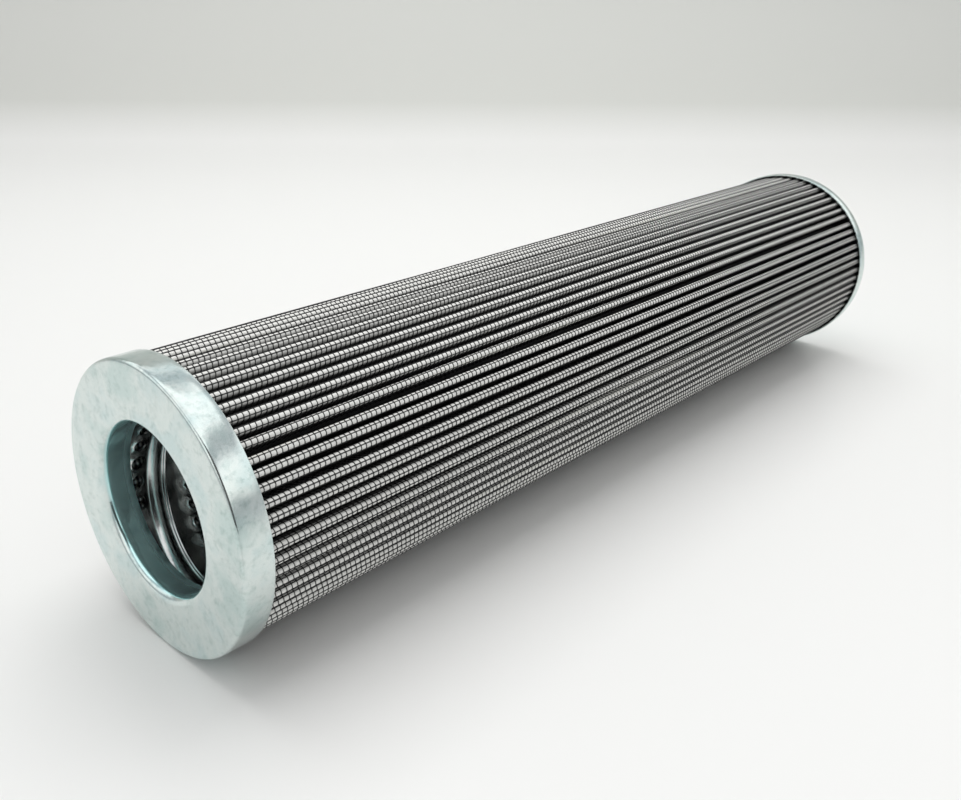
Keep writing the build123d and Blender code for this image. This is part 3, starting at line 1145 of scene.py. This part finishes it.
new_pieces = (pale_fleece, *wires, open_cap_piece, closed_cap_piece, wound_tube_piece)
for name, node in frame["nodes"].items():
    give_finish(node, finishes[NODE_FINISH[name]])
for piece in new_pieces:
    give_finish(piece, finishes[piece["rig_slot"]])
print(len(finishes), "finishes on", len(NODE_FINISH), "packed and", len(new_pieces), "new pieces")

# %% [markdown]
# ## Table and backdrop
#
# The table is a sheet of white card that lies flat and sweeps up behind the element. A flat floor and
# a wall would show a line where they meet, and one bent sheet shows none. It is seen only from its
# front, so a camera behind or under it looks through it at the element.

# %% Build the sweep
TABLE_BACK = np.array([0, 0.692, -0.722])  # level direction from the camera to the backdrop
TABLE_SIDE = np.array([0, 0.722, 0.692])
SWEEP_START = 620.0  # from the element's middle
SWEEP_RADIUS = 420.0
WALL_HEIGHT = 900.0
TABLE_FRONT = 2200.0
TABLE_HALF_WIDTH = 2600.0


def sweep():
    """Level line, quarter circle and upright line, as distance and height, carried sideways."""
    turn = np.radians(np.linspace(-90, 0, 25))
    distance = np.r_[-TABLE_FRONT, SWEEP_START + SWEEP_RADIUS * np.cos(turn), SWEEP_START + SWEEP_RADIUS]
    height = np.r_[0, SWEEP_RADIUS * (1 + np.sin(turn)), WALL_HEIGHT]
    middle = np.array([-CAP_RADIUS, 0, TOP / 2])
    bent = middle + distance[:, None] * TABLE_BACK + height[:, None] * np.array(TABLE_UP)
    sides = TABLE_SIDE * TABLE_HALF_WIDTH
    points = np.stack([bent + sides, bent - sides], 1)
    return fill_mesh("white_card_sweep", points.reshape(-1, 3), grid_faces(len(distance), 2))


table = bpy.data.objects.new("white_card_sweep", sweep())
bpy.context.scene.collection.objects.link(table)
print("the table faces", [round(value, 2) for value in table.data.polygons[0].normal])

# %% [markdown]
# ### White card
#
# Matt card with a faint sheen. It is nearly white where the element lies, and where it bends up it
# carries painted shade, a little greyer, for the dimmer light on the upright part; this also sets the
# pale caps off from the backdrop.

# %% White card finish
def white_card():
    """Card with painted shade that greys it as it rises, and which is clear from behind."""
    material, tree, shader = new_finish("white_card")
    split = add_node(tree, "SeparateXYZ", links={0: (add_node(tree, "TexCoord"), "Object")})
    height = add_node(
        tree, "MapRange", {1: -CAP_RADIUS * MM, 2: (SWEEP_RADIUS - CAP_RADIUS) * MM}, {0: (split, "X")}
    )
    # painted shade: greyer where the card rises, for the dimmer light there
    colour = add_node(
        tree, "ValToRGB", links={"Fac": (height, 0)},
        stops=((0.0, "#EFEFED"), (0.015, "#EFEFED"), (0.085, "#D7D8D3"), (0.28, "#D7D8D3")),
    )
    link_shader(tree, shader, Base_Color=(colour, "Color"))
    set_shader(shader, Roughness=0.35)
    clear = add_node(tree, "BsdfTransparent")
    both = add_node(
        tree, "MixShader",
        links={0: (add_node(tree, "NewGeometry"), "Backfacing"), 1: (shader, "BSDF"), 2: (clear, "BSDF")},
    )
    tree.links.new(both.outputs[0], tree.nodes["Material Output"].inputs["Surface"])
    return material


give_finish(table, white_card())
print("the table has", table.data.materials[0].name)

# %% [markdown]
# ## Light
#
# The room is pale and lights the element from all round, more from above than from below. One broad
# soft lamp hangs over the far half of the element and gives the folds their bright tops and dark
# gaps, and a weak one shines from beyond the far end. Plated steel shows little but what it reflects,
# so reflections see a room with lighter and darker bands. Together they light a level surface so
# that its colour shows about as it is written.

# %% World
scene = bpy.context.scene
scene.view_settings.view_transform = "Standard"
world = bpy.data.worlds.new("pale_room")
scene.world = world
world.use_nodes = True
ROOM_LIGHT = 0.85
ROOM_REFLECTED = 1.55
ROOM_RISING = ((0.0, "#A2A3A5"), (0.4, "#E0E1E3"), (1.0, "#FFFFFF"))
ROOM_BANDS = (
    (0.0, "#A8AAAC"), (0.2, "#8E9092"), (0.38, "#E8E8E6"), (0.6, "#F0F0F0"),
    (0.72, "#92969A"), (0.81, "#A0A4A6"), (0.86, "#FFFFFF"), (1.0, "#E0E0E0"),
)


def pale_room():
    """Soft light that is stronger from above, and a room with darker bands for reflections.

    Both follow the sine of the height above the table at which a ray leaves. A camera that looks
    past the table sees one plain pale colour.
    """
    tree = world.node_tree
    split = add_node(tree, "SeparateXYZ", links={0: (add_node(tree, "TexCoord"), "Generated")})
    rising = add_node(tree, "ValToRGB", links={"Fac": (split, "X")}, stops=ROOM_RISING)
    bands = add_node(tree, "ValToRGB", links={"Fac": (split, "X")}, stops=ROOM_BANDS)
    light = add_node(tree, "Background", {"Strength": ROOM_LIGHT}, {"Color": (rising, "Color")})
    reflected = add_node(tree, "Background", {"Strength": ROOM_REFLECTED}, {"Color": (bands, "Color")})
    seen = tree.nodes["Background"]
    seen.inputs["Color"].default_value = linear("#E6E7E8")
    ray = add_node(tree, "LightPath")
    lit = add_node(
        tree, "MixShader",
        links={0: (ray, "Is Glossy Ray"), 1: (light, "Background"), 2: (reflected, "Background")},
    )
    all_rays = add_node(
        tree, "MixShader", links={0: (ray, "Is Camera Ray"), 1: (lit, 0), 2: (seen, "Background")}
    )
    tree.links.new(all_rays.outputs[0], tree.nodes["World Output"].inputs["Surface"])


pale_room()
print("world:", world.name, "with light", ROOM_LIGHT, "and reflections", ROOM_REFLECTED)


# %% Lamps
def soft_lamp(name, place, aim, size, watts):
    """Square lamp of a size in millimetres, at a place in millimetres, turned to its aim."""
    data = bpy.data.lights.new(name, "AREA")
    data.size = size * MM
    data.energy = watts
    lamp = bpy.data.objects.new(name, data)
    lamp.visible_glossy = False
    scene.collection.objects.link(lamp)
    back = (Vector(place) - Vector(aim)).normalized()
    turned = back.to_track_quat("Z", "Y").to_matrix().to_4x4()
    lamp.matrix_world = Matrix.Translation(Vector(place) * MM) @ turned
    print(f"{name}: {size} mm wide, {watts} W")


soft_lamp("overhead_softbox", place=(900, 200, 75), aim=(0, 0, TOP * 0.4), size=900, watts=5.2)
soft_lamp("far_window", place=(480, -240, -430), aim=(0, 0, 60), size=500, watts=0.3)

# %% [markdown]
# ### Something dark to reflect
#
# Plated metal looks dull in a room that is pale all round. The dark streaks along the bends of the
# caps come from whatever dark stands near them, so a small dark card stands behind the camera. Only
# reflections see it: it takes no light away and throws no shadow.

# %% Dark card behind the camera
CARD_SIZE = (190, 330)
CARD_BEHIND = 60  # its distance behind the camera


def dark_card():
    """Upright card that faces as the camera does: its place, plus half its size along both axes."""
    corners = np.array([[-1, -1], [1, -1], [1, 1], [-1, 1]]) * CARD_SIZE / 2
    axes = np.array(camera.matrix_world.to_3x3())
    place = np.array(camera.matrix_world.translation) / MM + axes[:, 2] * CARD_BEHIND
    points = place + corners[:, :1] * axes[:, 0] + corners[:, 1:] * axes[:, 1]
    card = bpy.data.objects.new("dark_card", fill_mesh("dark_card", points, np.arange(4)[None]))
    scene.collection.objects.link(card)
    card.visible_camera = card.visible_diffuse = card.visible_shadow = card.visible_transmission = False
    return card


def black_felt():
    """Felt that gives almost no light back."""
    material, _, shader = new_finish("black_felt")
    set_shader(shader, Base_Color=linear("#101010"), Roughness=1.0)
    return material


card = dark_card()
give_finish(card, black_felt())
print("dark card of", CARD_SIZE, "mm")
